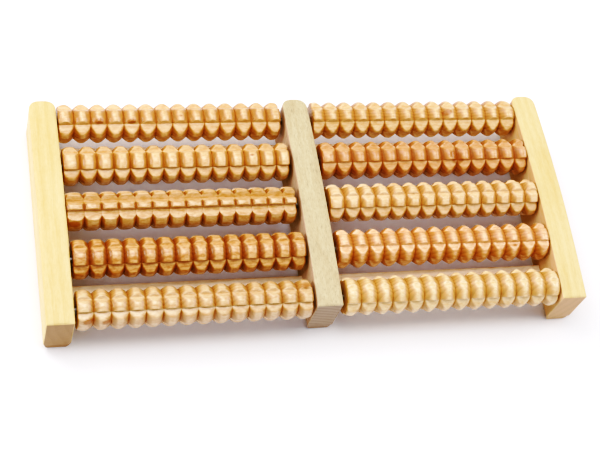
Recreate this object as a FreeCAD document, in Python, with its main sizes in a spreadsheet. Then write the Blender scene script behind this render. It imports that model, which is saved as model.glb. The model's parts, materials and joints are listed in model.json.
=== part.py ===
"""Foot massage roller: two bays of five ribbed wooden rollers between three side rails.

Millimetres. The origin is the centre of the footprint on the floor: +X runs along the
rollers, +Y towards the back and +Z up. Row 1 is the back row and row 5 the front row.
"""
import FreeCAD, Part
import os
import Sketcher

V = FreeCAD.Vector
ROWS = (1, 2, 3, 4, 5)
SIDES = {"left": -1, "centre": 0, "right": 1}
BAYS = {"left": -1, "right": 1}
RIBS = 14
FLUTES = 6

SIZES = {
    "overall_width": 280.0,      # across the outer faces of the end rails
    "rail_thickness": 13.6,
    "rail_length": 125.0,        # front to back
    "rail_end_height": 28.0,     # top edge at both ends
    "rail_mid_height": 31.2,     # top of the arch
    "centre_rail_length": 122.0,
    "centre_rail_shift": 0.9,    # the centre rail sits this much further back
    "rail_foot_round": 5.8,      # rounding of the underside's long edges
    "rail_nose_round": 6.6,      # rounding of the back end's upright edges
    "socket_depth": 8.5,         # rods and crossbars reach this far into the end rails
    "row_pitch": 26.2,
    "rod_radius": 2.0,
    "rod_bore_gap": 0.08,        # radial running clearance of a roller on its rod
    "wood_gap": 0.05,            # clearance of a piece held in a rail
    "socket_end_gap": 0.2,       # clearance at the bottom of a socket
    "roller_radius": 10.0,
    "roller_length": 116.8,
    "roller_proud": 2.3,         # how far a roller's crest stands above the rail beside it
    "roller_end_chamfer": 1.6,
    "rib_pitch": 8.45,
    "ring_depth": 2.5,           # V grooves round the roller
    "ring_reach": 3.6,           # half the V's width, at the cutter's outer edge
    "flute_depth": 3.0,          # cuts along the roller, with one steep wall
    "flute_wall_reach": 0.8,     # from the corner back to the steep wall's outer edge
    "flute_slope_reach": 9.8,    # from the corner forward to the slope's outer edge
    "cutter_over": 1.0,          # how far a cutter stands outside the roller
    "bar_width": 10.0,
    "bar_thickness": 8.0,
    "bar_lift": 2.6,             # underside of a crossbar above the floor
    "bar_edge_chamfer": 0.5,
    "brad_radius": 0.8,
    "brad_sink": 0.6,            # how far a brad is driven below the underside
    "brad_length": 8.8,
    "brad_tip": 1.2,
}

# How far each roller has drifted along its rod, how far its ribs sit from the middle of its
# length, and the angle that it happens to rest at.
ROLLER_FLOAT = {
    "left": (-0.7, -0.4, -0.9, 0.0, 0.0),
    "right": (0.9, 1.0, 0.7, 1.1, 1.1),
}
RIB_SHIFT = {
    "left": (0.2, 0.7, 1.0, 0.3, 0.0),
    "right": (-1.2, 0.5, 0.4, -0.1, -0.2),
}
ROLLER_TURN = {
    "left": (30.0, 42.0, 25.0, 47.0, 36.0),
    "right": (35.0, 38.0, 46.0, 23.0, 55.0),
}

doc = FreeCAD.newDocument("FootMassageRoller")
sheet = doc.addObject("Spreadsheet::Sheet", "Sizes")


def fill_sheet():
    """Write every driving dimension to the sheet, with its name as the cell's alias."""
    rows = dict(SIZES)
    for bay in BAYS:
        for row in ROWS:
            rows[f"float_{bay}_{row}"] = ROLLER_FLOAT[bay][row - 1]
            rows[f"shift_{bay}_{row}"] = RIB_SHIFT[bay][row - 1]
            rows[f"turn_{bay}_{row}"] = ROLLER_TURN[bay][row - 1]
    for line, (name, value) in enumerate(rows.items(), start=1):
        sheet.set(f"A{line}", name)
        sheet.set(f"B{line}", str(value))
        sheet.setAlias(f"B{line}", name)
    doc.recompute()


def cell(name):
    return f"Sizes.{name}"


def row_y(row):
    """Expression for a row's place from front to back; the third row is in the middle."""
    return f"({3 - row} * Sizes.row_pitch)" if row != 3 else "0"


ARCH_RISE = "(Sizes.rail_mid_height - Sizes.rail_end_height)"
ARCH_RADIUS = f"((Sizes.rail_length ^ 2 / 4 + {ARCH_RISE} ^ 2) / (2 * {ARCH_RISE}))"
BAY_WIDTH = "((Sizes.overall_width - 3 * Sizes.rail_thickness) / 2)"
HELD_LENGTH = ("(Sizes.overall_width - 2 * (Sizes.rail_thickness - Sizes.socket_depth)"
               " - 2 * Sizes.socket_end_gap)")
BAR_Y = "(1.5 * Sizes.row_pitch)"


def arch_height(along):
    """Expression for the height of the rails' top edge at a place along them."""
    return (f"(Sizes.rail_mid_height - {ARCH_RADIUS}"
            f" + sqrt({ARCH_RADIUS} ^ 2 - ({along}) ^ 2))")


def axle_height(row):
    """Expression for the height of a row's rod: the rows follow the arch of the rails."""
    return f"({arch_height(row_y(row))} + Sizes.roller_proud - Sizes.roller_radius)"


def new_body(label):
    body = doc.addObject("PartDesign::Body", label)
    body.Label = label
    return body


def origin_feature(body, role):
    return next(f for f in body.Origin.OriginFeatures if f.Role == role)


def new_sketch(body, name, plane, offset=None):
    """Sketch on one of the body's own origin planes, moved along its normal by offset."""
    sketch = body.newObject("Sketcher::SketchObject", name)
    sketch.AttachmentSupport = [(origin_feature(body, plane), "")]
    sketch.MapMode = "FlatFace"
    if offset:
        sketch.setExpression("AttachmentOffset.Base.z", offset)
    return sketch


def drive(sketch, constraint, name, expression):
    """Add a dimension to a sketch and bind it to the sheet."""
    index = sketch.addConstraint(constraint)
    sketch.renameConstraint(index, name)
    sketch.setExpression(f"Constraints.{name}", expression)


def add_circle(sketch, name, across, up, radius):
    """Circle whose centre lies at the expressions across and up."""
    index = sketch.addGeometry(Part.Circle(V(1, 1, 0), V(0, 0, 1), 1.0))
    drive(sketch, Sketcher.Constraint("Radius", index, 1.0), f"{name}_radius", radius)
    place_point(sketch, index, 3, name, across, up)


def place_point(sketch, geometry, point, name, across, up):
    """Hold a point of the sketch at the expressions across and up."""
    for kind, tail, expression in (("DistanceX", "across", across), ("DistanceY", "up", up)):
        if expression == "0":
            axis = -2 if kind == "DistanceX" else -1
            sketch.addConstraint(Sketcher.Constraint("PointOnObject", geometry, point, axis))
        else:
            fixed = Sketcher.Constraint(kind, -1, 1, geometry, point, 1.0)
            drive(sketch, fixed, f"{name}_{tail}", expression)


def add_polygon(sketch, name, corners):
    """Closed outline of straight lines through corners, each a pair of expressions."""
    values = [V(sheet_value(x), sheet_value(y), 0) for x, y in corners]
    lines = []
    for start, end in zip(values, values[1:] + values[:1]):
        lines.append(sketch.addGeometry(Part.LineSegment(start, end)))
    for line, following in zip(lines, lines[1:] + lines[:1]):
        sketch.addConstraint(Sketcher.Constraint("Coincident", line, 2, following, 1))
    for line, (corner, (x, y)) in zip(lines, enumerate(corners)):
        place_point(sketch, line, 1, f"{name}_{corner}", x, y)
    return lines


def sheet_value(expression):
    """Number that an expression comes to, for a sketch's first guess."""
    result = sheet.evalExpression(expression)
    return float(getattr(result, "Value", result))


def add_rectangle(sketch, name, left, right, low, high):
    add_polygon(sketch, name, [(left, low), (right, low), (right, high), (left, high)])


def pad(body, sketch, length):
    """Solid of the sketch, spread evenly to both sides of its plane."""
    feature = body.newObject("PartDesign::Pad", f"{body.Label}_pad")
    feature.Profile = sketch
    feature.Midplane = True
    feature.setExpression("Length", length)
    sketch.Visibility = False
    doc.recompute()
    return feature


def cut_checked(body, feature, before):
    """Recompute, and make sure that the feature took material away from the volume before."""
    doc.recompute()
    if not feature.Shape.Volume < before - 1e-3:
        raise RuntimeError(f"{feature.Name} of {body.Label} cuts nothing")
    return feature


def pocket(body, sketch, name, depth=None, reversed_=False):
    """Cut along the sketch's normal: to a depth, or through all."""
    before = body.Shape.Volume
    feature = body.newObject("PartDesign::Pocket", f"{body.Label}_{name}")
    feature.Profile = sketch
    feature.Reversed = reversed_
    if depth:
        feature.Type = "Length"
        feature.setExpression("Length", depth)
    else:
        feature.Type = "ThroughAll"
        feature.Midplane = True
    sketch.Visibility = False
    return cut_checked(body, feature, before)


def place(piece, x="0", y="0", z="0"):
    for axis, expression in (("x", x), ("y", y), ("z", z)):
        if expression != "0":
            piece.setExpression(f"Placement.Base.{axis}", expression)
    return piece


def round_edges(body, base, name, radius, wanted):
    """Fillet the edges of base that wanted picks out."""
    feature = body.newObject("PartDesign::Fillet", f"{body.Label}_{name}")
    edges = [f"Edge{i}" for i, edge in enumerate(base.Shape.Edges, start=1) if wanted(edge)]
    feature.Base = (base, edges)
    feature.setExpression("Radius", radius)
    doc.recompute()
    return feature


def rail_profile(body, length):
    """Side view of a rail: flat underside, upright ends and an arched top."""
    sketch = new_sketch(body, f"{body.Label}_profile", "YZ_Plane")
    end_height = arch_height(f"{length} / 2")
    half = sheet_value(f"{length} / 2")
    end = sheet_value(end_height)
    mid = sheet_value(cell("rail_mid_height"))
    outline = [
        Part.LineSegment(V(-half, 0, 0), V(half, 0, 0)),
        Part.LineSegment(V(half, 0, 0), V(half, end, 0)),
        Part.Arc(V(half, end, 0), V(0, mid, 0), V(-half, end, 0)),
        Part.LineSegment(V(-half, end, 0), V(-half, 0, 0)),
    ]
    bottom, back, top, front = sketch.addGeometry(outline)
    sketch.addConstraint([
        Sketcher.Constraint("Coincident", bottom, 2, back, 1),
        Sketcher.Constraint("Coincident", back, 2, top, 1),
        Sketcher.Constraint("Coincident", top, 2, front, 1),
        Sketcher.Constraint("Coincident", front, 2, bottom, 1),
        Sketcher.Constraint("Vertical", back),
        Sketcher.Constraint("Vertical", front),
        Sketcher.Constraint("PointOnObject", bottom, 1, -1),
        Sketcher.Constraint("Symmetric", bottom, 1, bottom, 2, -2),
        Sketcher.Constraint("Horizontal", top, 1, top, 2),
    ])
    drive(sketch, Sketcher.Constraint("DistanceX", bottom, 1, bottom, 2, 2 * half),
          "length", length)
    drive(sketch, Sketcher.Constraint("DistanceY", back, 1, back, 2, end),
          "end_height", end_height)
    drive(sketch, Sketcher.Constraint("Radius", top, sheet_value(ARCH_RADIUS)),
          "arch", ARCH_RADIUS)
    return sketch


def make_rail(side):
    """Board on edge with sockets for the rods and crossbars, right through in the centre."""
    body = new_body(f"{side}_rail")
    centred = side == "centre"
    length = cell("centre_rail_length" if centred else "rail_length")
    shift = cell("centre_rail_shift") if centred else "0"
    blank = pad(body, rail_profile(body, length), cell("rail_thickness"))
    back_y = sheet_value(f"{length} / 2")

    def local(along):
        """Expression for a place along the rail, measured from the rail's own middle."""
        return f"{along} - {shift}" if centred else along

    def is_back_upright(edge):
        box = edge.BoundBox
        return box.YMin > back_y - 0.01 and box.ZLength > 1

    nose = round_edges(body, blank, "nose", cell("rail_nose_round"), is_back_upright)

    def is_foot(edge):
        box = edge.BoundBox
        return box.ZMax < 0.01 and (box.YLength > 1 or box.YMin > back_y - 1)

    round_edges(body, nose, "foot", cell("rail_foot_round"), is_foot)
    inward = -SIDES[side]
    plane_offset = f"{inward} * Sizes.rail_thickness / 2" if inward else None
    depth = cell("socket_depth") if inward else None
    holes = new_sketch(body, f"{side}_rail_rod_holes", "YZ_Plane", plane_offset)
    for row in ROWS:
        add_circle(holes, f"row_{row}", local(row_y(row)), axle_height(row),
                   "Sizes.rod_radius + Sizes.wood_gap")
    pocket(body, holes, "rod_holes", depth, reversed_=inward < 0)
    slots = new_sketch(body, f"{side}_rail_bar_slots", "YZ_Plane", plane_offset)
    half_width = "(Sizes.bar_width / 2 + Sizes.wood_gap)"
    for name, sign in (("front", "-1"), ("rear", "1")):
        middle = local(f"{sign} * {BAR_Y}")
        add_rectangle(slots, name, f"{middle} - {half_width}", f"{middle} + {half_width}",
                      "Sizes.bar_lift - Sizes.wood_gap",
                      "Sizes.bar_lift + Sizes.bar_thickness + Sizes.wood_gap")
    pocket(body, slots, "bar_slots", depth, reversed_=inward < 0)
    pins = new_sketch(body, f"{side}_rail_brad_holes", "XY_Plane")
    for name, sign in (("front", "-1"), ("rear", "1")):
        add_circle(pins, name, "0", local(f"{sign} * {BAR_Y}"),
                   "Sizes.brad_radius + Sizes.wood_gap")
    pocket(body, pins, "brad_holes", "Sizes.bar_lift", reversed_=True)
    offset = "(Sizes.overall_width - Sizes.rail_thickness) / 2"
    return place(body, x=f"{SIDES[side]} * {offset}" if inward else "0", y=shift)


def make_crossbar(name, sign):
    """Square-edged lath across the roller, its long edges broken, with its brad holes."""
    body = new_body(f"{name}_crossbar")
    sketch = new_sketch(body, f"{name}_crossbar_section", "YZ_Plane")
    add_rectangle(sketch, "section", "-Sizes.bar_width / 2", "Sizes.bar_width / 2",
                  "-Sizes.bar_thickness / 2", "Sizes.bar_thickness / 2")
    blank = pad(body, sketch, HELD_LENGTH)
    edges = [f"Edge{i}" for i, edge in enumerate(blank.Shape.Edges, start=1)
             if edge.BoundBox.XLength > 1]
    eased = body.newObject("PartDesign::Chamfer", f"{name}_crossbar_edges")
    eased.Base = (blank, edges)
    eased.setExpression("Size", cell("bar_edge_chamfer"))
    doc.recompute()
    holes = new_sketch(body, f"{name}_crossbar_brad_holes", "XY_Plane",
                       "-Sizes.bar_thickness / 2")
    for side, direction in SIDES.items():
        across = f"{direction} * (Sizes.overall_width - Sizes.rail_thickness) / 2"
        add_circle(holes, side, across if direction else "0", "0",
                   "Sizes.brad_radius + Sizes.wood_gap")
    depth = "Sizes.brad_sink + Sizes.brad_length + Sizes.socket_end_gap - Sizes.bar_lift"
    pocket(body, holes, "brad_holes", depth, reversed_=True)
    return place(body, y=f"{sign} * {BAR_Y}", z="Sizes.bar_lift + Sizes.bar_thickness / 2")


def make_rod(row):
    """Steel rod from one end rail to the other, through the rollers of a row."""
    rod = doc.addObject("Part::Cylinder", f"axle_rod_{row}")
    rod.Placement = FreeCAD.Placement(V(), FreeCAD.Rotation(V(0, 1, 0), 90))
    rod.setExpression("Radius", cell("rod_radius"))
    rod.setExpression("Height", HELD_LENGTH)
    return place(rod, f"-{HELD_LENGTH} / 2", row_y(row), axle_height(row))


def make_brad(name, side, sign):
    """Headless brad: a shank with a cone for its tip, driven up through a rail."""
    label = f"brad_{name}_{side}"
    shank = doc.addObject("Part::Cylinder", f"{label}_shank")
    shank.setExpression("Radius", cell("brad_radius"))
    shank.setExpression("Height", "Sizes.brad_length - Sizes.brad_tip")
    tip = doc.addObject("Part::Cone", f"{label}_tip")
    tip.Radius2 = 0
    tip.setExpression("Radius1", cell("brad_radius"))
    tip.setExpression("Height", cell("brad_tip"))
    tip.setExpression("Placement.Base.z", "Sizes.brad_length - Sizes.brad_tip")
    brad = doc.addObject("Part::Fuse", label)
    brad.Base = shank
    brad.Tool = tip
    offset = "(Sizes.overall_width - Sizes.rail_thickness) / 2"
    across = f"{SIDES[side]} * {offset}" if SIDES[side] else "0"
    return place(brad, across, f"{sign} * {BAR_Y}", cell("brad_sink"))


def add_cutter(sketch, name, middle, depth, reach_low, reach_high):
    """Triangle that points at the roller's axis and stands a little outside its surface."""
    outside = "Sizes.roller_radius + Sizes.cutter_over"
    add_polygon(sketch, name, [
        (middle, f"Sizes.roller_radius - {depth}"),
        (f"{middle} + {reach_high}", outside),
        (f"{middle} - {reach_low}", outside),
    ])


def repeat(body, kind, cut, direction, count, length=None):
    """Linear or polar pattern of a cut; the body's tip moves on to it."""
    before = body.Shape.Volume
    pattern = body.newObject(f"PartDesign::{kind}", f"{cut.Name}_pattern")
    pattern.Originals = [cut]
    if kind == "LinearPattern":
        pattern.Direction = direction
        pattern.setExpression("Length", length)
    else:
        pattern.Axis = direction
        pattern.Angle = 360
    pattern.Occurrences = count
    body.Tip = pattern
    cut_checked(body, pattern, before)


def make_roller(bay, row):
    """Wooden roller: bored through, ringed by V grooves and cut lengthwise into knobs."""
    label = f"roller_{bay}_{row}"
    body = new_body(label)
    disc = new_sketch(body, f"{label}_disc", "YZ_Plane")
    add_circle(disc, "rim", "0", "0", cell("roller_radius"))
    blank = pad(body, disc, cell("roller_length"))
    ends = body.newObject("PartDesign::Chamfer", f"{label}_ends")
    ends.Base = (blank, [f"Edge{i}" for i, edge in enumerate(blank.Shape.Edges, start=1)
                         if edge.BoundBox.XLength < 0.01])
    ends.setExpression("Size", cell("roller_end_chamfer"))
    doc.recompute()

    before = body.Shape.Volume
    ring = new_sketch(body, f"{label}_ring", "XZ_Plane")
    add_cutter(ring, "ring", f"Sizes.shift_{bay}_{row} - {(RIBS - 2) / 2} * Sizes.rib_pitch",
               "Sizes.ring_depth", "Sizes.ring_reach", "Sizes.ring_reach")
    groove = body.newObject("PartDesign::Groove", f"{label}_groove")
    groove.Profile = ring
    groove.ReferenceAxis = (ring, ["H_Axis"])
    groove.Angle = 360
    ring.Visibility = False
    cut_checked(body, groove, before)
    repeat(body, "LinearPattern", groove, (ring, ["H_Axis"]), RIBS - 1,
           f"{RIBS - 2} * Sizes.rib_pitch")

    flute = new_sketch(body, f"{label}_flute", "YZ_Plane")
    add_cutter(flute, "flute", "0",
               "Sizes.flute_depth", "Sizes.flute_slope_reach", "Sizes.flute_wall_reach")
    cut = pocket(body, flute, "flute_cut")
    repeat(body, "PolarPattern", cut, (origin_feature(body, "X_Axis"), [""]), FLUTES)

    bore = new_sketch(body, f"{label}_bore", "YZ_Plane")
    add_circle(bore, "bore", "0", "0", "Sizes.rod_radius + Sizes.rod_bore_gap")
    pocket(body, bore, "bore_cut")

    body.Placement = FreeCAD.Placement(V(), FreeCAD.Rotation(V(1, 0, 0), 1))
    body.setExpression("Placement.Rotation.Angle", cell(f"turn_{bay}_{row}"))
    bay_middle = f"{BAYS[bay]} * (Sizes.rail_thickness + {BAY_WIDTH}) / 2"
    return place(body, f"{bay_middle} + Sizes.float_{bay}_{row}",
                 row_y(row), axle_height(row))


def build_all():
    pieces = [make_rail(side) for side in SIDES]
    for name, sign in (("front", -1), ("rear", 1)):
        pieces.append(make_crossbar(name, sign))
        pieces += [make_brad(name, side, sign) for side in SIDES]
    pieces += [make_rod(row) for row in ROWS]
    pieces += [make_roller(bay, row) for bay in BAYS for row in ROWS]
    return pieces


def check_and_export(pieces):
    """Stop on any failed object or bad shape, then write one STEP file for each piece."""
    doc.recompute()
    for item in doc.Objects:
        if {"Invalid", "Error"} & set(item.State):
            raise RuntimeError(f"{item.Name} failed: {item.State}")
    os.makedirs("parts", exist_ok=True)
    for piece in pieces:
        shape = piece.Shape
        if shape.isNull() or not shape.isValid() or len(shape.Solids) != 1:
            raise RuntimeError(f"{piece.Label} has a bad shape")
        shape.exportStep(f"parts/{piece.Label}.step")
        print(f"{piece.Label}: {shape.Volume / 1000:.2f} cm3, {len(shape.Faces)} faces")


fill_sheet()
check_and_export(build_all())
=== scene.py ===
"""Foot massage roller: the visible pieces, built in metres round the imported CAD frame.

Each CAD solid is replaced by a finished mesh in the same place: knobbed rollers, arched rails,
crossbars, rods and brads, in two kinds of procedural material, wood and steel.
"""

import json
import math
import random

import bpy
import numpy as np
from mathutils import Matrix, Vector


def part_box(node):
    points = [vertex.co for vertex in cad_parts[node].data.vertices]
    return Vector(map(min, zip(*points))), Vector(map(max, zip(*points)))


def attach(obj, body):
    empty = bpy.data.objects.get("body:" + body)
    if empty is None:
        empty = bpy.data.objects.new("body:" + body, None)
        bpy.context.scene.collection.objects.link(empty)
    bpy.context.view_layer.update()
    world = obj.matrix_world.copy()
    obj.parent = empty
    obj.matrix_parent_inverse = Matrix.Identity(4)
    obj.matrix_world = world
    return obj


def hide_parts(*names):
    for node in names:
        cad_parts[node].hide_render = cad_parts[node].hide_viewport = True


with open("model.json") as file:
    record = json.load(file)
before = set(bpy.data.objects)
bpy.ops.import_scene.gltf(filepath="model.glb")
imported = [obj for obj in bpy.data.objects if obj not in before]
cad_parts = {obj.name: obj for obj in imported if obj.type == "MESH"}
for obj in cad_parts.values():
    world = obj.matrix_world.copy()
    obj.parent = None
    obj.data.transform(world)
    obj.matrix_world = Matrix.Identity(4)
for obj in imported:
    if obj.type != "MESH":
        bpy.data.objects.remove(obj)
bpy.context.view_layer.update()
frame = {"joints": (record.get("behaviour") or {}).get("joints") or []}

MM = 0.001
SIDES = {"left": -1, "centre": 0, "right": 1}
BAYS = ("left", "right")
ROWS = (1, 2, 3, 4, 5)

HINGE_AT = {joint["child"]: joint["pos_m"] for joint in frame["joints"]}


# ---------------------------------------------------------------- materials

class Nodes:
    """Small helper that adds and links the nodes of one material."""

    def __init__(self, name):
        self.material = bpy.data.materials.new(name)
        self.material.use_nodes = True
        self.tree = self.material.node_tree
        self.tree.nodes.clear()
        self.shader = self.add("ShaderNodeBsdfPrincipled")
        output = self.add("ShaderNodeOutputMaterial")
        self.link(self.shader.outputs["BSDF"], output.inputs["Surface"])

    def add(self, kind, **settings):
        node = self.tree.nodes.new(kind)
        for key, value in settings.items():
            setattr(node, key, value)
        return node

    def link(self, source, target):
        self.tree.links.new(source, target)

    def put(self, value, socket):
        """Link value to socket if it is an output, and set it there if it is a constant."""
        if isinstance(value, bpy.types.NodeSocket):
            self.link(value, socket)
        else:
            socket.default_value = value

    def math(self, operation, a, b=0.0, clamp=False):
        node = self.add("ShaderNodeMath", operation=operation, use_clamp=clamp)
        self.put(a, node.inputs[0])
        self.put(b, node.inputs[1])
        return node.outputs[0]

    def plus(self, a, b, clamp=False):
        return self.math("ADD", a, b, clamp)

    def minus(self, a, b):
        return self.math("SUBTRACT", a, b)

    def times(self, a, b):
        return self.math("MULTIPLY", a, b)

    def mix(self, factor, a, b, blend="MIX"):
        node = self.add("ShaderNodeMix", data_type="RGBA", blend_type=blend)
        self.put(factor, node.inputs["Factor"])
        self.put(a, node.inputs["A"])
        self.put(b, node.inputs["B"])
        return node.outputs["Result"]

    def ramp(self, value, low, high, out_low=0.0, out_high=1.0):
        """Smooth step from out_low at low to out_high at high."""
        node = self.add("ShaderNodeMapRange", interpolation_type="SMOOTHSTEP")
        self.put(value, node.inputs["Value"])
        for socket, number in (("From Min", low), ("From Max", high),
                               ("To Min", out_low), ("To Max", out_high)):
            node.inputs[socket].default_value = number
        return node.outputs["Result"]

    def mapped(self, source, location=(0, 0, 0), rotation=(0, 0, 0), scale=(1, 1, 1)):
        node = self.add("ShaderNodeMapping")
        self.link(source, node.inputs["Vector"])
        node.inputs["Location"].default_value = location
        node.inputs["Rotation"].default_value = rotation
        node.inputs["Scale"].default_value = scale
        return node.outputs["Vector"]

    def noise(self, vector, cells, detail=3.0, roughness=0.55, location=(0, 0, 0)):
        """Noise with so many cells per metre along each axis of vector."""
        node = self.add("ShaderNodeTexNoise")
        self.link(self.mapped(vector, location=location, scale=cells), node.inputs["Vector"])
        for socket, number in (("Scale", 1.0), ("Detail", detail), ("Roughness", roughness)):
            node.inputs[socket].default_value = number
        return node.outputs["Fac"]

    def axes(self, vector):
        """The three components of a vector."""
        node = self.add("ShaderNodeSeparateXYZ")
        self.link(vector, node.inputs[0])
        return node.outputs

    def attribute(self, name):
        return self.add("ShaderNodeAttribute", attribute_name=name).outputs["Fac"]

    def relief(self, height, strength, distance):
        """Bump the shader's surface by height."""
        node = self.add("ShaderNodeBump")
        node.inputs["Strength"].default_value = strength
        node.inputs["Distance"].default_value = distance
        self.link(height, node.inputs["Height"])
        self.link(node.outputs["Normal"], self.shader.inputs["Normal"])


def rgb(red, green, blue):
    """Linear colour from an 8-bit sRGB one."""
    def linear(level):
        level /= 255
        return level / 12.92 if level <= 0.04045 else ((level + 0.055) / 1.055) ** 2.4
    return (linear(red), linear(green), linear(blue), 1.0)


def darker(colour, share):
    return tuple(level * share for level in colour[:3]) + (1.0,)


# noise cells per metre along the grain or the wire and, twice, across it
WAVER = (14, 60, 60)
FIBRES = (90, 1600, 1600)
STREAKS = (16, 420, 420)
BLOTCHES = (22, 55, 55)
MOTTLES = (330, 700, 700)
SPECKS = (380, 2300, 2300)
END_DOTS = (300, 1700, 1700)
KNOT_EDGES = (500, 1300, 1300)
SCRATCHES = (90, 5200, 5200)
DULL_PATCHES = (120, 400, 400)

RING_WAVER = 0.004               # how far the growth rings wander, m
# colour of the painted shade in the ring grooves and their nicks
GROOVE_SHADE = (0.80, 0.56, 0.30, 1)
KNOT_BROWN = rgb(156, 86, 20)


def late_wood(n, grain, pith, rings):
    """1 in the dark late part of each growth ring; pith is the rings' centre, rings is per metre."""
    _, v, w = n.axes(grain)
    v = n.minus(v, pith[0])
    w = n.minus(w, pith[1])
    distance = n.math("SQRT", n.plus(n.times(v, v), n.times(w, w)))
    wander = n.times(n.noise(grain, WAVER, 2.0), RING_WAVER)
    year = n.math("FRACT", n.times(n.plus(distance, wander), rings))
    return n.times(n.ramp(year, 0.25, 0.85), n.ramp(year, 1.0, 0.9))


def wood(name, light, dark, cut, along, seed, rings=700.0, ring_mix=0.3, fibre_mix=0.35,
         blotch_mix=0.3, fleck=0.0, rough=0.42, tilt=0.03, cut_from=0.35, cut_to=0.8,
         pith=(0.03, -0.05), bump=0.35, coat=0.0, mottle_mix=0.25, end_rings=0.45,
         side_shade=None):
    """Procedural wood whose grain runs along X or Y.

    light and dark are the face grain's early and late wood; cut is the colour of wood that
    is cut across its grain. pith is where the tree's centre lies in the cross-section.
    flank is painted shade: it darkens and warms the upright faces along the grain of a board that runs
    along Y.
    """
    n = Nodes(name)
    rng = random.Random(seed)
    texture = n.add("ShaderNodeTexCoord")
    turn = (0, 0, 0) if along == "x" else (0, 0, -math.pi / 2)
    straight = n.mapped(texture.outputs["Object"], rotation=turn)
    grain = n.mapped(straight, location=(rng.uniform(-3, 3), 0, 0),
                     rotation=(0, rng.uniform(-tilt, tilt), rng.uniform(-tilt, tilt)))
    late = late_wood(n, grain, pith, rings)
    fibre = n.noise(grain, FIBRES, 3.0, 0.6)
    streak = n.noise(grain, STREAKS, 3.0, 0.6)
    blotch = n.noise(grain, BLOTCHES, location=(seed, 0, 0))
    mottle = n.ramp(n.noise(grain, MOTTLES, 3.0, 0.65), 0.3, 0.7)
    tone = n.plus(n.times(late, ring_mix), n.times(n.ramp(streak, 0.3, 0.7), fibre_mix))
    tone = n.plus(tone, n.times(n.ramp(blotch, 0.3, 0.7), blotch_mix))
    tone = n.plus(tone, n.times(n.minus(mottle, 0.5), mottle_mix))
    tone = n.plus(tone, n.times(n.minus(fibre, 0.5), 0.8), clamp=True)
    face = n.mix(tone, light, dark)
    if fleck:
        specks = n.ramp(n.noise(grain, SPECKS, 2.0, 0.7), 0.56, 0.68)
        face = n.mix(n.times(specks, fleck), face, darker(dark, 0.45))

    facing = n.axes(n.add("ShaderNodeNewGeometry").outputs["Normal"])
    # painted shade: the upright faces are darker and warmer than the top
    if side_shade:
        upright = n.ramp(n.math("ABSOLUTE", facing[0]), 0.5, 0.95)
        face = n.mix(upright, face, n.mix(1.0, face, side_shade, "MULTIPLY"))
    # wood that is cut across its grain soaks up more finish, and shows its rings and pores
    across = n.math("ABSOLUTE", facing[0 if along == "x" else 1])
    end = n.ramp(across, cut_from, cut_to)
    dots = n.noise(grain, END_DOTS, 3.0, 0.65)
    end_tone = n.plus(n.times(late, end_rings), n.times(dots, 0.5))
    colour = n.mix(end, face, n.mix(end_tone, cut, darker(cut, 0.62)))
    # painted shade in the grooves, darkest in their nicks, and the knots are painted on the mesh
    shaded = n.mix(1.0, colour, GROOVE_SHADE, "MULTIPLY")
    colour = n.mix(n.times(n.attribute("recess_shade"), 0.8), colour, shaded)
    ragged = n.times(n.noise(grain, KNOT_EDGES, 2.0), 0.6)
    knot = n.ramp(n.plus(n.attribute("knot"), ragged), 0.62, 1.05)
    colour = n.mix(n.times(knot, 0.8), colour, KNOT_BROWN)
    n.link(colour, n.shader.inputs["Base Color"])

    uneven = n.plus(n.times(end, 0.2), rough - 0.09)
    n.link(n.plus(n.times(streak, 0.18), uneven), n.shader.inputs["Roughness"])
    n.shader.inputs["Specular IOR Level"].default_value = 0.5
    n.shader.inputs["Coat Weight"].default_value = coat
    n.shader.inputs["Coat Roughness"].default_value = 0.22
    height = n.plus(n.times(fibre, 0.6), streak)
    height = n.minus(height, n.times(late, 0.25))
    height = n.plus(height, n.times(n.times(dots, end), 1.6))
    n.relief(height, bump, 0.2 * MM)
    return n.material


def steel(name, seed):
    """Drawn steel wire: fine scratches along X and a few dull patches."""
    n = Nodes(name)
    texture = n.add("ShaderNodeTexCoord")
    placed = n.mapped(texture.outputs["Object"], location=(seed, seed, 0))
    scratch = n.noise(placed, SCRATCHES, 3.0, 0.7)
    dull = n.noise(placed, DULL_PATCHES)
    bright, worn = (0.26, 0.26, 0.27, 1), (0.17, 0.16, 0.15, 1)
    n.link(n.mix(n.ramp(dull, 0.35, 0.7), bright, worn), n.shader.inputs["Base Color"])
    n.shader.inputs["Metallic"].default_value = 1.0
    polish = n.plus(n.times(scratch, 0.5), n.times(dull, 0.5))
    n.link(n.ramp(polish, 0.3, 0.7, 0.24, 0.46), n.shader.inputs["Roughness"])
    n.relief(scratch, 0.25, 0.05 * MM)
    return n.material


# ---------------------------------------------------------------- meshes

def add_piece(name, vertices, faces, material, body, node, sharp=38.0, **paints):
    """Mesh object that stands for a CAD node. paints are per-vertex values for the material."""
    mesh = bpy.data.meshes.new(name)
    mesh.from_pydata([tuple(map(float, v)) for v in vertices], [], faces)
    mesh.validate()
    for label in ("recess_shade", "knot"):
        values = paints.get(label, np.zeros(len(vertices)))
        layer = mesh.attributes.new(label, "FLOAT", "POINT")
        layer.data.foreach_set("value", np.asarray(values, dtype=np.float32))
    mesh.polygons.foreach_set("use_smooth", [True] * len(mesh.polygons))
    mesh.set_sharp_from_angle(angle=math.radians(sharp))
    mesh.materials.append(material)
    piece = bpy.data.objects.new(name, mesh)
    bpy.context.scene.collection.objects.link(piece)
    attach(piece, body)
    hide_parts(node)
    return piece


def grid_faces(rows, columns, closed):
    """Quads of a grid of rows by columns of vertices; closed joins the last column to the first."""
    faces = []
    for i in range(rows - 1):
        for j in range(columns if closed else columns - 1):
            k = (j + 1) % columns
            faces.append((i * columns + j, i * columns + k,
                          (i + 1) * columns + k, (i + 1) * columns + j))
    return faces


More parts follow.
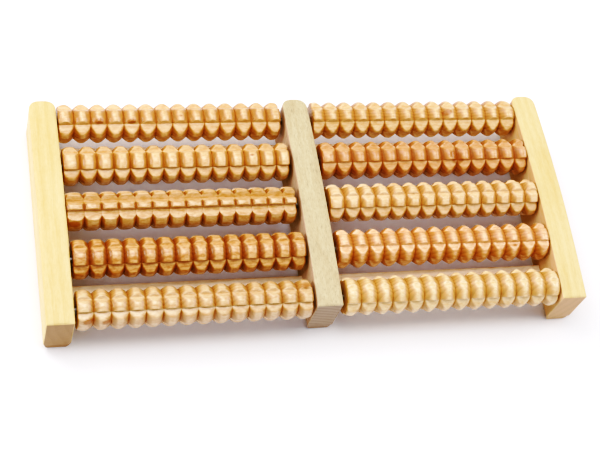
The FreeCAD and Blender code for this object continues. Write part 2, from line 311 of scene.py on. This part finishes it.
def filled(stops, gap):
    """Sorted stops with evenly spaced ones added wherever two are further apart than gap."""
    stops = sorted(stops)
    out = [stops[0]]
    for stop in stops[1:]:
        count = max(1, math.ceil((stop - out[-1]) / gap - 1e-6))
        start = out[-1]
        out += [start + (stop - start) * k / count for k in range(1, count + 1)]
    return np.array([s for i, s in enumerate(out) if i == 0 or s - out[i - 1] > 1e-7])


def soft_min(a, b, reach):
    """Smaller of a and b, with the ridge between them rounded over reach."""
    h = np.clip(0.5 + 0.5 * (b - a) / reach, 0, 1)
    return b * (1 - h) + a * h - reach * h * (1 - h)


def smooth_noise(rng, count, spacing):
    """Random values of about -1 to 1 that change slowly over spacing entries."""
    knots = max(4, count // spacing + 3)
    values = rng.uniform(-1, 1, knots)
    return np.interp(np.linspace(0, knots - 1, count), np.arange(knots), values)


def signed_turn(angles, middle):
    """Angles as turns of -pi to pi from middle."""
    return (angles - middle + math.pi) % (2 * math.pi) - math.pi


# ---------------------------------------------------------------- rollers

RIBS = 14
RIB_PITCH = 8.45 * MM
RIB_CROWN = 0.5 * MM             # how far a rib's top falls away to its sides
RIB_BELLY = 1.18                 # above 1, a rib's sides bulge into the grooves
GROOVE_FLOOR = 0.12 * MM         # rounding of a groove's bottom
GROOVE_STRAY = 0.12              # mm by which a groove may be out of place
DEPTH_STRAY = 0.15               # mm by which its depth may be off
END_GROOVE = 0.6                 # depth of the grooves at its ends, as a share of the others
END_ROUND = (0.8, 1.8)           # radius of a roller's left and right end, mm
END_SHARE = 0.8                  # share of that rounding that is cut away
NICK = 0.25 * MM                 # half the width of the nick at the bottom of a groove
NICK_DEPTH = 0.2                 # mm
CREST = 0.5 * MM                 # rounding between a rib's top and a groove
ARRIS = 0.35 * MM                # rounding along the edges of a flute
OVAL = 0.05 * MM                 # how far a roller is out of round
RASP = 0.03 * MM                 # roughness of its surface
BORE = 2.08 * MM                 # radius of its bore
KNOT_STRETCH = 1.6               # a knot's length along the grain over its width
KNOT_FADE = 1.4                  # how quickly a knot pales away from its middle
CUTTER_REACH = math.radians(45)  # a flute's lines end this far from its corner

# where the mesh has its edges
STATION_GAP = 1.1 * MM           # longest edge along a roller
ANGLE_GAP = math.radians(3.2)    # longest edge round it
GROOVE_STOPS = (0, 0.12, 0.35, 0.7, 1.0)         # shares of a groove's half width
END_STOPS = (0, 0.05, 0.14, 0.3, 0.55, 1.0)      # shares of an end's rounding
CAP_STOPS = (0.25, 0.5, 0.75, 1.0)               # shares of the way in to the bore


class Roller:
    """What sets one turned and milled roller apart from the others."""

    def __init__(self, flutes, depth, ring_half, ring_depth, colours, shift=0.0, twist=0.0,
                 radius=10.0, wall=4.0, knots=()):
        # (corner, far rim, depth) of each flute: degrees from +Y over the top, and mm
        self.flutes = [(*flute, depth)[:3] for flute in flutes]
        self.wall = wall                # degrees from a flute's corner to its near rim
        self.ring_half = ring_half      # half the width of a ring groove, mm
        self.ring_depth = ring_depth
        self.colours = colours          # early wood, late wood and cross-cut wood
        self.shift = shift              # of the ribs from the middle of the roller, mm
        self.twist = twist              # degrees by which the flutes turn from one end to the other
        self.radius = radius
        self.knots = knots              # (rib, degrees, size in mm, strength)


ROLLERS = {
    ("left", 1): Roller(
        ((50, 79), (125, 154), (183, 210), (238, 266), (298, 326), (354, 382)), 2.2, 3.4, 2.5,
        (rgb(228, 189, 142), rgb(208, 157, 100), rgb(200, 142, 82)), shift=0.2, wall=10.0,
        knots=((3, 114, 2.0, 1.2), (5, 116, 1.9, 1.2), (8, 100, 1.1, 0.7))),
    ("left", 2): Roller(
        ((58, 84), (132, 156), (190, 216), (250, 277), (310, 336), (4, 30)), 2.3, 2.7, 2.4,
        (rgb(229, 192, 144), rgb(209, 159, 104), rgb(201, 144, 84)), shift=0.7,
        knots=((12, 96, 1.2, 0.8),)),
    ("left", 3): Roller(
        ((70, 97), (115, 143), (190, 218), (240, 268), (285, 313), (330, 358), (20, 48)),
        3.0, 1.8, 1.6,
        (rgb(220, 182, 138), rgb(192, 140, 83), rgb(183, 125, 66)), shift=1.0, radius=9.9,
        knots=((1, 158, 2.6, 1.2), (6, 88, 1.0, 0.7))),
    ("left", 4): Roller(
        ((76, 93, 1.3), (137, 162), (197, 223), (257, 284), (317, 344), (17, 43)), 2.1, 2.6, 2.2,
        (rgb(216, 169, 117), rgb(181, 119, 66), rgb(170, 107, 52)), shift=0.3),
    ("left", 5): Roller(
        ((80, 97, 1.4), (126, 147), (188, 208), (248, 268), (306, 327), (12, 34)), 2.2, 3.1, 2.0,
        (rgb(220, 188, 145), rgb(202, 156, 106), rgb(195, 144, 90)), twist=2.0, wall=5.0,
        knots=((14, 70, 3.0, 0.85), (1.2, 152, 2.8, 1.0), (2.2, 156, 2.2, 0.95))),
    ("right", 1): Roller(
        ((60, 89), (127, 159), (176, 206), (236, 267), (298, 328), (0, 30)), 2.2, 3.7, 2.6,
        (rgb(230, 194, 145), rgb(211, 162, 103), rgb(206, 151, 90)), shift=-1.2, wall=9.0,
        knots=((9.6, 98, 2.8, 1.0), (4, 82, 1.1, 0.6))),
    ("right", 2): Roller(
        ((64, 92), (128, 156), (186, 213), (246, 273), (306, 333), (6, 33)), 2.2, 3.5, 2.5,
        (rgb(219, 172, 125), rgb(197, 136, 84), rgb(188, 123, 68)), shift=0.5, wall=6.0,
        knots=((9.4, 108, 3.0, 1.3), (9.6, 130, 2.6, 1.3))),
    ("right", 3): Roller(
        ((92, 110, 1.4), (136, 163), (196, 224), (256, 284), (316, 344), (30, 56)), 2.2, 3.0, 2.4,
        (rgb(232, 198, 155), rgb(216, 170, 117), rgb(210, 157, 99)), shift=0.4, wall=5.0,
        knots=((6, 92, 1.0, 0.6),)),
    ("right", 4): Roller(
        ((50, 74), (113, 136), (172, 198), (232, 256), (292, 316), (352, 376)), 1.9, 3.8, 2.6,
        (rgb(237, 194, 152), rgb(213, 153, 101), rgb(205, 140, 82)), shift=-0.1, twist=8.0,
        wall=6.0, knots=((12, 126, 1.4, 0.8),)),
    ("right", 5): Roller(
        ((86, 102, 0.8), (145, 172), (205, 233), (265, 294), (325, 354), (25, 54)), 1.9, 3.8, 2.4,
        (rgb(235, 208, 165), rgb(219, 179, 125), rgb(212, 164, 105)), shift=-0.2, twist=8.0,
        wall=6.0),
}


def flute_radius(angles, corner, rim, depth, wall_reach, radius):
    """Radius of a roller's cross-section under one flute, at angles near its corner."""
    low = radius - depth
    clear = 2 * radius           # stands for no cut at all

    def line(at_angle):
        """Radius at each angle of the straight line from the corner to the rim at at_angle."""
        a = np.array([low * math.cos(corner), low * math.sin(corner)])
        b = np.array([radius * math.cos(at_angle), radius * math.sin(at_angle)])
        normal = np.array([b[1] - a[1], a[0] - b[0]])
        offset = normal @ a
        if offset < 0:
            normal, offset = -normal, -offset
        facing = normal[0] * np.cos(angles) + normal[1] * np.sin(angles)
        return np.where(facing > offset / clear, offset / np.maximum(facing, 1e-12), clear)

    wall = line(corner - wall_reach)
    slope = line(rim)
    turn = signed_turn(angles, corner)
    found = np.where(turn < 0, wall, slope)
    return np.where(np.abs(turn) < CUTTER_REACH, found, clear)


def ring_grooves(roller, centre_x, rng):
    """Places and depths of the ring grooves, with one more at about each end."""
    middle = centre_x + roller.shift * MM
    places = middle + (np.arange(RIBS - 1) - (RIBS - 2) / 2) * RIB_PITCH
    places = places + rng.uniform(-GROOVE_STRAY, GROOVE_STRAY, len(places)) * MM
    depths = (roller.ring_depth + rng.uniform(-DEPTH_STRAY, DEPTH_STRAY, len(places))) * MM
    beyond = RIB_PITCH * np.array([-0.5, 0.5]) * RIBS + centre_x + roller.shift * MM
    places = np.concatenate([places, beyond])
    return places, np.concatenate([depths, [END_GROOVE * roller.ring_depth * MM] * 2])


def roller_stations(grooves, half, start, stop):
    """Places along a roller: close together at its rounded ends and in its grooves."""
    offsets = np.array(GROOVE_STOPS) * half
    offsets = np.concatenate([offsets, [half - 0.25 * MM, half + 0.3 * MM]])
    stops = []
    for share in END_STOPS:
        stops += [start + share * END_ROUND[0] * MM, stop - share * END_ROUND[1] * MM]
    for groove in grooves:
        stops += [groove + sign * offset for offset in offsets for sign in (-1, 1)]
    return filled([at for at in stops if start <= at <= stop], STATION_GAP)


def roller_angles(flutes, wall):
    """Angles round a roller: close together at the edges of its flutes."""
    marks = []
    for corner, rim, _ in flutes:
        near = corner - wall
        for mark in (near - 0.05, near - 0.015, near, corner - wall * 0.66, corner - wall * 0.33,
                     corner, corner + 0.02, corner + 0.07, rim - 0.05, rim, rim + 0.03, rim + 0.07):
            marks.append(mark % (2 * math.pi))
    return filled(marks + [min(marks) + 2 * math.pi], ANGLE_GAP)[:-1]


def end_drop(along, start, stop):
    """How far the rounded ends fall below the rim, mm."""
    drop = np.zeros(along.shape)
    for size, inward in zip(END_ROUND, (along - start, stop - along)):
        inset = np.clip(size - inward / MM, 0, size)
        drop += size - np.sqrt(size ** 2 - inset ** 2)
    return drop


def knot_marks(roller, centre_x, along, turned):
    """Strength of the knots at each point of the surface."""
    marks = np.zeros(along.shape)
    for rib, degrees, size, strength in roller.knots:
        rib_x = centre_x + (rib - (RIBS + 1) / 2) * RIB_PITCH
        turn = signed_turn(turned, math.radians(degrees))
        away = np.hypot((along - rib_x) / KNOT_STRETCH, turn * roller.radius * MM) / (size * MM)
        marks = np.maximum(marks, strength * np.exp(-away ** 2 * KNOT_FADE))
    return marks


def carve(roller, grooves, depths, flutes, along, angles, turned, start, stop, rng):
    """Radius of the knobbed surface, and how much painted shade each point of it gets, more where it
    is recessed.
    """
    radius = roller.radius * MM
    nearest = np.abs(along[..., None] - grooves)
    closest = nearest.min(-1)
    away = np.sqrt(closest ** 2 + GROOVE_FLOOR ** 2)
    fall = 1 - away / (roller.ring_half * MM)
    ring = radius - depths[nearest.argmin(-1)] * np.sign(fall) * np.abs(fall) ** RIB_BELLY
    flute = np.full(along.shape, 2 * radius)
    for corner, rim, depth in flutes:
        cut = flute_radius(angles, corner, rim, depth, math.radians(roller.wall), radius)
        flute = np.minimum(flute, cut)
    from_middle = np.clip(1 - 2 * away / RIB_PITCH, 0, 1)
    out_of_round = OVAL * np.sin(turned * 2 + rng.uniform(0, 6))
    top = radius + out_of_round - RIB_CROWN * from_middle ** 2
    nick = np.exp(-(closest / NICK) ** 2)
    reach = soft_min(soft_min(top, ring, CREST), flute, ARRIS)
    reach = reach - (END_SHARE * end_drop(along, start, stop) + NICK_DEPTH * nick) * MM
    rough = rng.normal(0, 1, along.shape)
    rough = (rough + np.roll(rough, 1, 0) + np.roll(rough, 1, 1) + np.roll(rough, -1, 0)) / 4
    reach = reach + RASP * rough

    # painted shade: darkest in the nicks, less on the grooves' walls, and least on the open slopes
    beside = np.clip((flute - ring) / (0.3 * MM), 0, 1)
    walls = np.clip((radius - 0.25 * MM - reach) / (0.8 * MM), 0, 1) * beside
    below = (radius - reach) / (3 * MM)
    return reach, np.clip(0.55 * nick * beside + 0.45 * walls + 0.12 * below, 0, 1)


def make_roller(bay, row):
    """Roller mesh: knobs left standing between ring grooves and lengthwise flutes."""
    node = f"roller_{bay}_{row}"
    roller = ROLLERS[bay, row]
    seed = 100 * (bay == "right") + row
    rng = np.random.default_rng(seed)
    centre = np.array(HINGE_AT[node])
    low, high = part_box(node)
    start, stop = low[0], high[0]
    grooves, depths = ring_grooves(roller, centre[0], rng)
    flutes = [(math.radians(corner), math.radians(rim), depth * MM)
              for corner, rim, depth in roller.flutes]
    stations = roller_stations(grooves, roller.ring_half * MM, start, stop)
    spokes = roller_angles(flutes, math.radians(roller.wall))
    columns = len(spokes)
    along, angles = np.meshgrid(stations, spokes, indexing="ij")
    turned = angles + math.radians(roller.twist) * (along - centre[0]) / (stop - start)
    reach, recess_shade = carve(roller, grooves, depths, flutes, along, angles, turned, start, stop, rng)
    knot = knot_marks(roller, centre[0], along, turned)

    def circle(x, size, turns):
        """Points at x, at a distance of size from the roller's axis."""
        return np.stack([x, centre[1] + size * np.cos(turns), centre[2] + size * np.sin(turns)], -1)

    def cap(x, edge, turns):
        """Rings of vertices from the end face's edge in to the bore."""
        return [circle(np.full(columns, x), edge * (1 - share) + BORE * share, turns)
                for share in CAP_STOPS]

    front, back = cap(start, reach[0], turned[0]), cap(stop, reach[-1], turned[-1])
    layers = front[::-1] + list(circle(along, reach, turned)) + back
    faces = grid_faces(len(layers), columns, True)
    last = (len(layers) - 1) * columns
    # the bore, from the last ring back to the first
    faces += [(last + j, last + (j + 1) % columns, (j + 1) % columns, j) for j in range(columns)]
    on_cap = np.zeros(len(front) * columns)
    # painted shade in the grooves, and the knots, per vertex; none on the end caps
    paints = {"recess_shade": np.concatenate([on_cap, recess_shade.ravel(), on_cap]),
              "knot": np.concatenate([on_cap, knot.ravel(), on_cap])}
    light, dark, cut = roller.colours
    material = wood(f"wood_{node}", light, dark, cut, "x", seed, rings=520, ring_mix=0.28,
                    fibre_mix=0.34, blotch_mix=0.3, rough=0.36, cut_from=0.2, cut_to=0.68,
                    coat=0.55, mottle_mix=0.95, bump=0.6,
                    pith=(rng.uniform(0.02, 0.05), rng.uniform(-0.04, 0.04)))
    return add_piece(f"turned_{node}", np.concatenate(layers), faces, material, node, node, **paints)


# ---------------------------------------------------------------- rails

RAIL_CROWN = 31.2 * MM           # height of a rail in the middle
RAIL_RISE = 3.2 * MM             # how much lower it is at its ends
RAIL_REACH = 62.5 * MM           # half its length
RAIL_NOSE = 6.6 * MM             # size of the rounded corners of its back end
NOSE_POWER = 0.75                # under 1, those corners are squarer than a circle
RAIL_FOOT = 5.8 * MM             # radius along its underside
RAIL_CORNER = 0.7 * MM           # radius of the upright corners of its front end
RAIL_EDGE = 0.55 * MM            # radius along its top
RAIL_WAVE = 0.12 * MM            # how far its side faces waver
RAIL_DOME = 0.16 * MM            # how far its top stands proud in the middle
RAIL_COLUMNS = 8                 # mesh columns across it


def rail_top(y):
    """Height of the rails' arched top edge."""
    bend = (RAIL_REACH ** 2 + RAIL_RISE ** 2) / (2 * RAIL_RISE)
    return RAIL_CROWN - bend + np.sqrt(bend ** 2 - y ** 2)


def rail_rungs(half, y0, y1):
    """(half width, y, normal x, normal y) of a rail's plan, from its front end to its back."""
    rungs = []
    for turn in np.linspace(0, math.pi / 2, 5):
        rungs.append((half - RAIL_CORNER + RAIL_CORNER * math.sin(turn),
                      y0 + RAIL_CORNER - RAIL_CORNER * math.cos(turn),
                      math.sin(turn), -math.cos(turn)))
    for y in filled([y0 + RAIL_CORNER, y1 - RAIL_NOSE], 2.5 * MM)[1:-1]:
        rungs.append((half, y, 1.0, 0.0))
    for turn in np.linspace(0, math.pi / 2, 13):
        out, back = abs(math.cos(turn)) ** NOSE_POWER, math.sin(turn) ** NOSE_POWER
        rungs.append((half - RAIL_NOSE + RAIL_NOSE * out, y1 - RAIL_NOSE + RAIL_NOSE * back,
                      math.cos(turn), math.sin(turn)))
    return rungs


def rail_plan(rungs):
    """Points once round a rail's plan, as (x, y, normal x, normal y, column, rung)."""
    points = []
    width, y = rungs[0][:2]
    for j in range(RAIL_COLUMNS + 1):
        points.append((width * (2 * j / RAIL_COLUMNS - 1), y, 0.0, -1.0, j, 0))
    for k, (width, y, nx, ny) in list(enumerate(rungs))[1:-1]:
        points.append((width, y, nx, ny, RAIL_COLUMNS, k))
    width, y = rungs[-1][:2]
    for j in range(RAIL_COLUMNS, -1, -1):
        points.append((width * (2 * j / RAIL_COLUMNS - 1), y, 0.0, 1.0, j, len(rungs) - 1))
    for k, (width, y, nx, ny) in reversed(list(enumerate(rungs))[1:-1]):
        points.append((-width, y, -nx, ny, 0, k))
    return points


def rail_levels():
    """(band, inset, height) of the plan's copies, from the underside up.

    height is above the underside in the low band, a share of the way up in the middle one,
    and below the arched edge in the top one.
    """
    levels = []
    for turn in np.linspace(0, math.pi / 2, 7):
        levels.append(("low", RAIL_FOOT * (1 - math.sin(turn)), RAIL_FOOT * (1 - math.cos(turn))))
    for share in np.linspace(0, 1, 8)[1:-1]:
        levels.append(("mid", 0.0, share))
    for turn in np.linspace(0, math.pi / 2, 5):
        levels.append(("top", RAIL_EDGE * (1 - math.cos(turn)), RAIL_EDGE * (1 - math.sin(turn))))
    return levels


def rail_wood(side, node):
    """Flecked greyish centre rail, plain yellowish end rails; painted shade darkens the centre and
    right rails' sides.
    """
    if side == "centre":
        return wood(f"wood_{node}", rgb(201, 185, 149), rgb(178, 157, 116), rgb(185, 159, 135), "y",
                    31, rings=330, ring_mix=0.25, fibre_mix=0.3, blotch_mix=0.25, fleck=0.45,
                    rough=0.5, cut_from=0.7, cut_to=0.95, pith=(0.012, -0.03),
                    mottle_mix=0.4, side_shade=(1.0, 0.84, 0.95, 1))
    cut = rgb(184, 145, 107) if side == "left" else rgb(219, 178, 135)
    return wood(f"wood_{node}", rgb(225, 201, 147), rgb(212, 178, 107), cut, "y",
                11 + SIDES[side], rings=210, ring_mix=0.22, fibre_mix=0.22, blotch_mix=0.4,
                fleck=0.12, rough=0.46, cut_from=0.7, cut_to=0.95,
                pith=(0.02 * SIDES[side], 0.06), end_rings=0.15,
                side_shade=(0.92, 0.78, 0.92, 1) if side == "right" else None)


def make_rail(side):
    """Rail mesh: arched top, almost flat across, square front end, round back end and foot."""
    node = f"{side}_rail"
    low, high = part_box(node)
    middle = (low[0] + high[0]) / 2
    half = (high[0] - low[0]) / 2
    rng = np.random.default_rng(7 + SIDES[side])
    rungs = rail_rungs(half, low[1], high[1])
    plan = rail_plan(rungs)
    levels = rail_levels()
    around = len(plan)
    front_y = low[1] + RAIL_CORNER * 1.01    # just past the corners of the front end
    wave_left = smooth_noise(rng, len(rungs), 9) * RAIL_WAVE
    wave_right = smooth_noise(rng, len(rungs), 9) * RAIL_WAVE

    vertices = []
    for band, inset, height in levels:
        for x, y, nx, ny, j, k in plan:
            top = rail_top(y)
            # the front end goes straight down, so the foot hardly sets it back
            set_back = min(inset, RAIL_EDGE) if band == "low" and y < front_y else inset
            px, py = x - nx * inset, y - ny * set_back
            if band == "low" and k == 0:
                px = x * (half - RAIL_CORNER - inset) / (half - RAIL_CORNER)
            if band == "low":
                pz = height
            elif band == "mid":
                pz = RAIL_FOOT + (top - RAIL_EDGE - RAIL_FOOT) * height
            else:
                pz = top - height
            wave = wave_left[k] if j == 0 else wave_right[k] if j == RAIL_COLUMNS else 0.0
            vertices.append((middle + px + wave * (band != "low"), py, pz))
    faces = grid_faces(len(levels), around, True)

    def close(level, dome, flip):
        """Grid of quads across the rail between the two sides of one copy of the plan."""
        base = level * around
        index = {(j, k): base + i for i, (_, _, _, _, j, k) in enumerate(plan)}
        for k in range(1, len(rungs) - 1):
            a = np.array(vertices[index[0, k]])
            b = np.array(vertices[index[RAIL_COLUMNS, k]])
            for j in range(1, RAIL_COLUMNS):
                share = j / RAIL_COLUMNS
                point = a * (1 - share) + b * share
                point[2] += dome * (1 - (2 * share - 1) ** 2)
                index[j, k] = len(vertices)
                vertices.append(tuple(point))
        for k in range(len(rungs) - 1):
            for j in range(RAIL_COLUMNS):
                quad = (index[j, k], index[j + 1, k], index[j + 1, k + 1], index[j, k + 1])
                faces.append(quad[::-1] if flip else quad)

    close(len(levels) - 1, RAIL_DOME, False)
    close(0, 0.0, True)
    return add_piece(f"shaped_{node}", vertices, faces, rail_wood(side, node), "frame", node, sharp=50)


# ---------------------------------------------------------------- crossbars, rods and brads

BAR_BROKEN = 0.55 * MM           # radius of a crossbar's broken edges
BAR_DRIFT = 0.10 * MM            # how far it wanders from front to back
BAR_LIFT = 0.06 * MM             # how far it wanders up and down
BAR_END = 0.92                   # size of its end faces, as a share of its section
ROD_BEVEL = 0.4 * MM
BRAD_TIP = 1.2 * MM
# a brad's outline from its sunk end up: mm above that end, and share of its radius
BRAD_OUTLINE = ((0.0, 0.55), (0.0, 0.85), (0.12, 1.0), (1.0, 0.97), (1.2, 0.93), (1.4, 0.97),
                (1.6, 0.93), (1.8, 1.0))


def lathe(node, profile, axis, material, segments=28):
    """Solid of revolution. profile is (place along axis, radius), with radius 0 at both ends."""
    low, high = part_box(node)
    middle = (np.array(low) + np.array(high)) / 2
    others = [k for k in range(3) if k != axis]
    turns = np.linspace(0, 2 * math.pi, segments, endpoint=False)
    vertices = []
    for place, radius in profile[1:-1]:
        for turn in turns:
            point = middle.copy()
            point[axis] = place
            point[others[0]] += radius * math.cos(turn)
            point[others[1]] += radius * math.sin(turn)
            vertices.append(point)
    faces = grid_faces(len(profile) - 2, segments, True)
    for (place, _), base in ((profile[0], 0), (profile[-1], (len(profile) - 3) * segments)):
        hub = len(vertices)
        point = middle.copy()
        point[axis] = place
        vertices.append(point)
        fan = [(hub, base + (j + 1) % segments, base + j) for j in range(segments)]
        faces += fan if base == 0 else [face[::-1] for face in fan]
    return add_piece(f"drawn_{node}", vertices, faces, material, "frame", node)


def make_rod(row):
    """Rod with bevelled ends, uneven by about a hundredth of a millimetre."""
    node = f"axle_rod_{row}"
    low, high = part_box(node)
    radius = (high[2] - low[2]) / 2
    rng = np.random.default_rng(40 + row)
    places = filled([low[0] + ROD_BEVEL, high[0] - ROD_BEVEL], 9 * MM)
    profile = [(low[0], 0), (low[0], radius - ROD_BEVEL)]
    profile += [(x, radius - abs(rng.normal(0, 0.006)) * MM) for x in places]
    profile += [(high[0], radius - ROD_BEVEL), (high[0], 0)]
    return lathe(node, profile, 0, steel(f"steel_{node}", row))


def make_brad(name, side):
    """Headless nail with grip rings near its sunk end and a pointed tip."""
    node = f"brad_{name}_{side}"
    low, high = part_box(node)
    radius = (high[0] - low[0]) / 2
    profile = [(low[2], 0)]
    profile += [(low[2] + up * MM, radius * share) for up, share in BRAD_OUTLINE]
    profile += [(high[2] - BRAD_TIP, radius), (high[2] - 0.1 * MM, radius * 0.12), (high[2], 0)]
    return lathe(node, profile, 2, steel(f"steel_{node}", 9 + SIDES[side]), segments=20)


def make_crossbar(name):
    """Lath with broken edges, a little uneven from the saw."""
    node = f"{name}_crossbar"
    low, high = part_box(node)
    rng = np.random.default_rng(60 if name == "front" else 61)
    ys, zs = (low[1] + high[1]) / 2, (low[2] + high[2]) / 2
    hy, hz = (high[1] - low[1]) / 2, (high[2] - low[2]) / 2
    section = []
    for quarter, (sy, sz) in enumerate(((1, 1), (-1, 1), (-1, -1), (1, -1))):
        for turn in np.linspace(0, math.pi / 2, 4):
            angle = quarter * math.pi / 2 + turn
            section.append((sy * (hy - BAR_BROKEN) + BAR_BROKEN * math.cos(angle),
                            sz * (hz - BAR_BROKEN) + BAR_BROKEN * math.sin(angle)))
    stations = filled([low[0], low[0] + 0.5 * MM, high[0] - 0.5 * MM, high[0]], 4 * MM)
    drift = smooth_noise(rng, len(stations), 8) * BAR_DRIFT
    lift = smooth_noise(rng, len(stations), 8) * BAR_LIFT
    vertices = []
    for i, x in enumerate(stations):
        squeeze = BAR_END if i in (0, len(stations) - 1) else 1.0
        for y, z in section:
            vertices.append((x, ys + y * squeeze + drift[i], zs + z * squeeze + lift[i]))
    count = len(section)
    faces = grid_faces(len(stations), count, True)
    faces.append(tuple(range(count))[::-1])
    faces.append(tuple(range((len(stations) - 1) * count, len(stations) * count)))
    material = wood(f"wood_{node}", rgb(248, 228, 200), rgb(222, 190, 156), rgb(172, 134, 101), "x",
                    70 + len(name), rings=420, ring_mix=0.3, fibre_mix=0.4, fleck=0.2, rough=0.55,
                    cut_from=0.8, cut_to=0.97)
    return add_piece(f"sawn_{node}", vertices, faces, material, "frame", node)


# ---------------------------------------------------------------- stage, lights and camera

CAMERA_PLACE = (-0.2004, -0.3264, 0.6299)
CAMERA_TURN = (0.5509, 1.0238, 0.4483)           # yaw from +Y, pitch down and roll, radians
CAMERA_LENS = 82.93                              # mm, on a sensor 36 mm wide

# view curves as (linear level in, level out). The green and blue ones come first and feed the one
# for all channels. They deepen the shadows, and make them warmer than the highlights.
BRIGHTEST = 1.3                                  # linear level at the curves' right-hand end
CURVE_ALL = ((0.05, 0.012), (0.115, 0.052), (0.227, 0.185), (0.31, 0.295), (0.47, 0.46),
             (0.8, 0.745), (1.0, 0.865))
CURVE_GREEN = ((0.05, 0.043), (0.1, 0.09), (0.16, 0.149), (0.24, 0.234), (0.34, 0.342),
               (0.5, 0.508), (0.7, 0.703))
CURVE_BLUE = ((0.02, 0.006), (0.05, 0.022), (0.08, 0.05), (0.11, 0.084), (0.14, 0.119),
              (0.2, 0.195), (0.3, 0.31), (0.45, 0.458), (0.7, 0.7))


def make_stage():
    """Pale floor, larger than the main view takes in."""
    mesh = bpy.data.meshes.new("floor")
    half = 4.0
    mesh.from_pydata([(-half, -half, 0), (half, -half, 0), (half, half, 0), (-half, half, 0)], [],
                     [(0, 1, 2, 3)])
    floor = bpy.data.objects.new("floor", mesh)
    floor.location.z = -0.1 * MM
    bpy.context.scene.collection.objects.link(floor)
    n = Nodes("pale_floor")
    texture = n.add("ShaderNodeTexCoord")
    soft = n.noise(texture.outputs["Object"], (3, 3, 3), 2.0)
    n.link(n.mix(soft, (0.915, 0.91, 0.965, 1), (0.93, 0.925, 0.97, 1)),
           n.shader.inputs["Base Color"])
    n.shader.inputs["Roughness"].default_value = 0.6
    n.shader.inputs["Specular IOR Level"].default_value = 0.2
    mesh.materials.append(n.material)


def add_light(name, place, aim, size, watts):
    """Square softbox at place that points at aim."""
    data = bpy.data.lights.new(name, "AREA")
    data.size = size
    data.energy = watts
    light = bpy.data.objects.new(name, data)
    light.location = place
    light.rotation_euler = (Vector(aim) - Vector(place)).to_track_quat("-Z", "Y").to_euler()
    bpy.context.scene.collection.objects.link(light)


def make_lights():
    """White surroundings and five softboxes."""
    world = bpy.data.worlds.new("studio")
    bpy.context.scene.world = world
    world.use_nodes = True
    background = world.node_tree.nodes["Background"]
    background.inputs["Color"].default_value = (1, 1, 1, 1)
    background.inputs["Strength"].default_value = 0.55
    centre, left_end = (0, 0, 0), (-0.14, 0, 0.02)
    add_light("above", (0, 0, 1.3), centre, size=0.5, watts=6.1)
    add_light("above_left", (-0.5, 0.1, 1.25), centre, size=0.6, watts=3.1)
    add_light("back_left", (-0.65, 0.65, 1.1), centre, size=0.8, watts=8.8)
    add_light("right", (1.2, 0, 0.8), centre, size=0.8, watts=8.5)
    add_light("low_left", (-1.1, 0.1, 0.3), left_end, size=0.4, watts=5.0)


def make_camera():
    """Camera above the front left of the massager, turned so that it lies across the view."""
    yaw, pitch, roll = CAMERA_TURN
    forward = Vector((math.sin(yaw) * math.cos(pitch), math.cos(yaw) * math.cos(pitch),
                      -math.sin(pitch)))
    level = Vector((math.cos(yaw), -math.sin(yaw), 0))
    up = level.cross(forward)
    right = level * math.cos(roll) + up * math.sin(roll)
    up = up * math.cos(roll) - level * math.sin(roll)
    data = bpy.data.cameras.new("camera")
    data.sensor_width = 36.0
    data.lens = CAMERA_LENS
    data.clip_start = 0.01
    camera = bpy.data.objects.new("camera", data)
    turn = Matrix((right, up, -forward)).transposed().to_4x4()
    camera.matrix_world = Matrix.Translation(CAMERA_PLACE) @ turn
    bpy.context.scene.collection.objects.link(camera)
    bpy.context.scene.camera = camera


def set_view():
    """Plain colours, with curves that deepen and warm the shadows."""
    view = bpy.context.scene.view_settings
    view.view_transform = "Standard"
    view.use_curve_mapping = True
    mapping = view.curve_mapping
    mapping.white_level = (BRIGHTEST, BRIGHTEST, BRIGHTEST)
    _, green, blue, combined = mapping.curves
    for level, shown in CURVE_ALL:
        combined.points.new(level / BRIGHTEST, shown)
    for curve, points in ((green, CURVE_GREEN), (blue, CURVE_BLUE)):
        for level, passed_on in points:
            curve.points.new(level / BRIGHTEST, passed_on / BRIGHTEST)
    mapping.update()


for side in SIDES:
    make_rail(side)
for name in ("front", "rear"):
    make_crossbar(name)
    for side in SIDES:
        make_brad(name, side)
for row in ROWS:
    make_rod(row)
    for bay in BAYS:
        make_roller(bay, row)
make_stage()
make_lights()
make_camera()
set_view()
